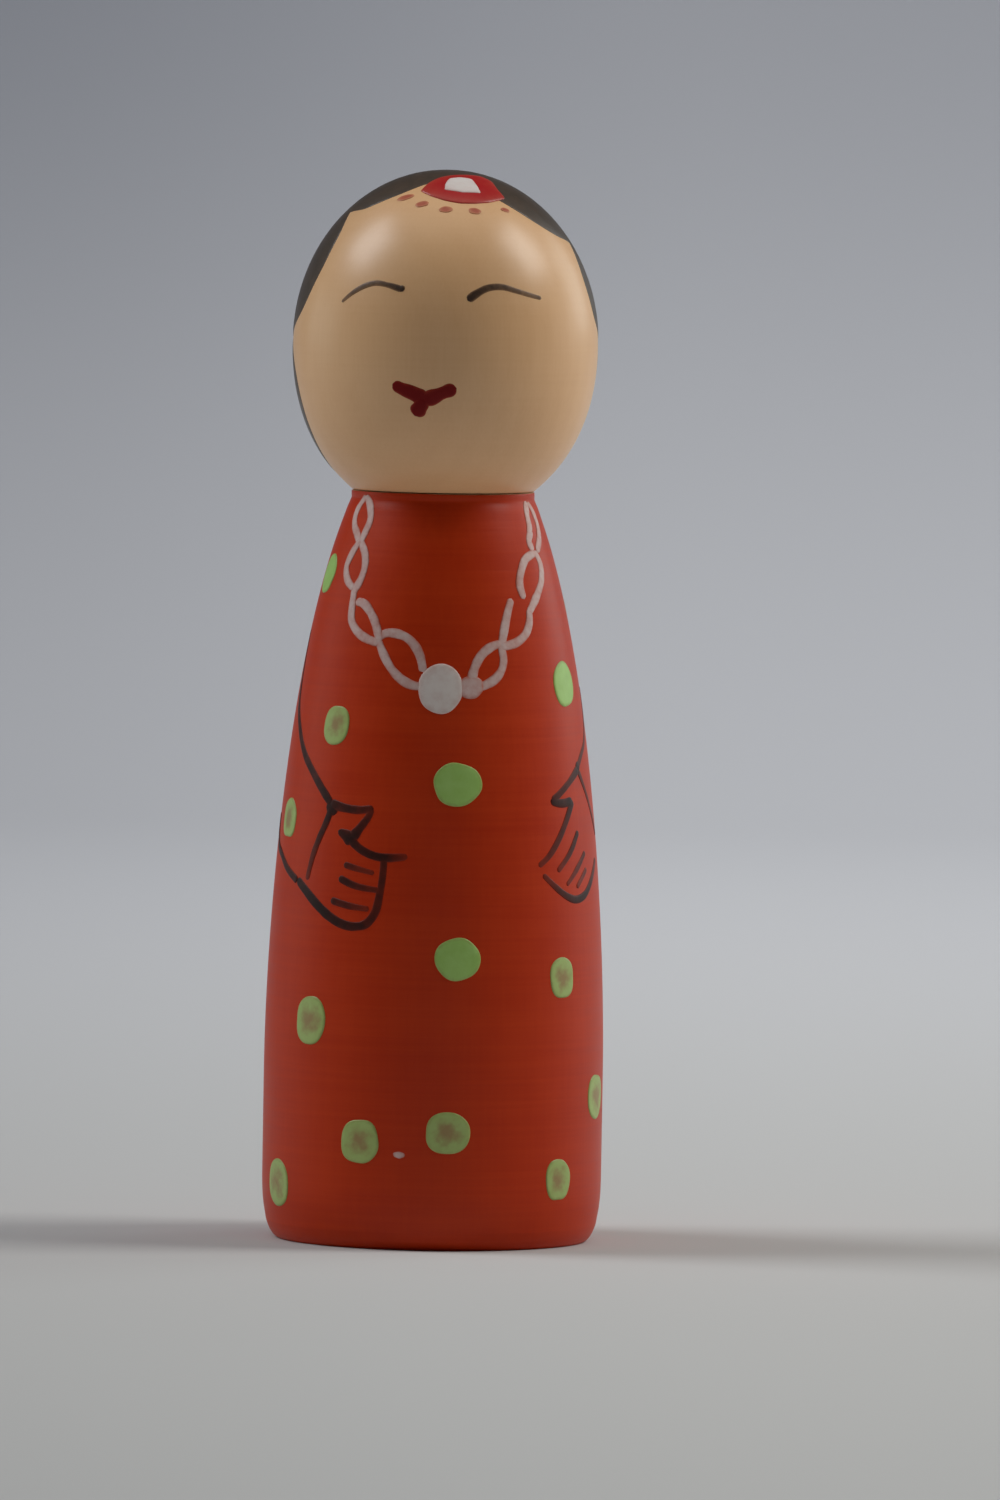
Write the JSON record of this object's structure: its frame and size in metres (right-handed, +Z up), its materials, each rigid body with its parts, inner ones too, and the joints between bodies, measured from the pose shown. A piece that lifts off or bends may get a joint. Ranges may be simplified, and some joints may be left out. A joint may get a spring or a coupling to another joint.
{
  "type": "kokeshi doll",
  "caption": "Painted turned-wood kokeshi doll: a slender flared body with a flat foot and a nearly round head that turns on a pegged neck joint.",
  "frame": {"origin": "centre of the body's flat underside", "axes": "+Z up the doll's turning axis; the face and the front of the dress look along -Y; +X is to the right as the viewer faces the doll"},
  "size_m": [0.0286, 0.0286, 0.0905],
  "materials": {
    "dress_paint": "satin vermilion paint over turned wood",
    "face_paint": "satin tan paint over turned wood",
    "bare_wood": "bare turned wood",
    "hair_paint": "black paint",
    "marker_line": "black brush line",
    "spot_paint": "pale green paint, brushed thin in the middle",
    "chain_paint": "thin off-white paint",
    "red_paint": "dark red paint"
  },
  "bodies": {
    "body": {"body": "dress_paint"},
    "head": {"head": "face_paint", "neck_peg": "bare_wood"}
  },
  "joints": [
    {"name": "head_turn", "type": "hinge", "parent": "body", "child": "head", "pos_m": [0, 0, 0.0634], "axis": [0, 0, 1], "continuous": true}
  ]
}
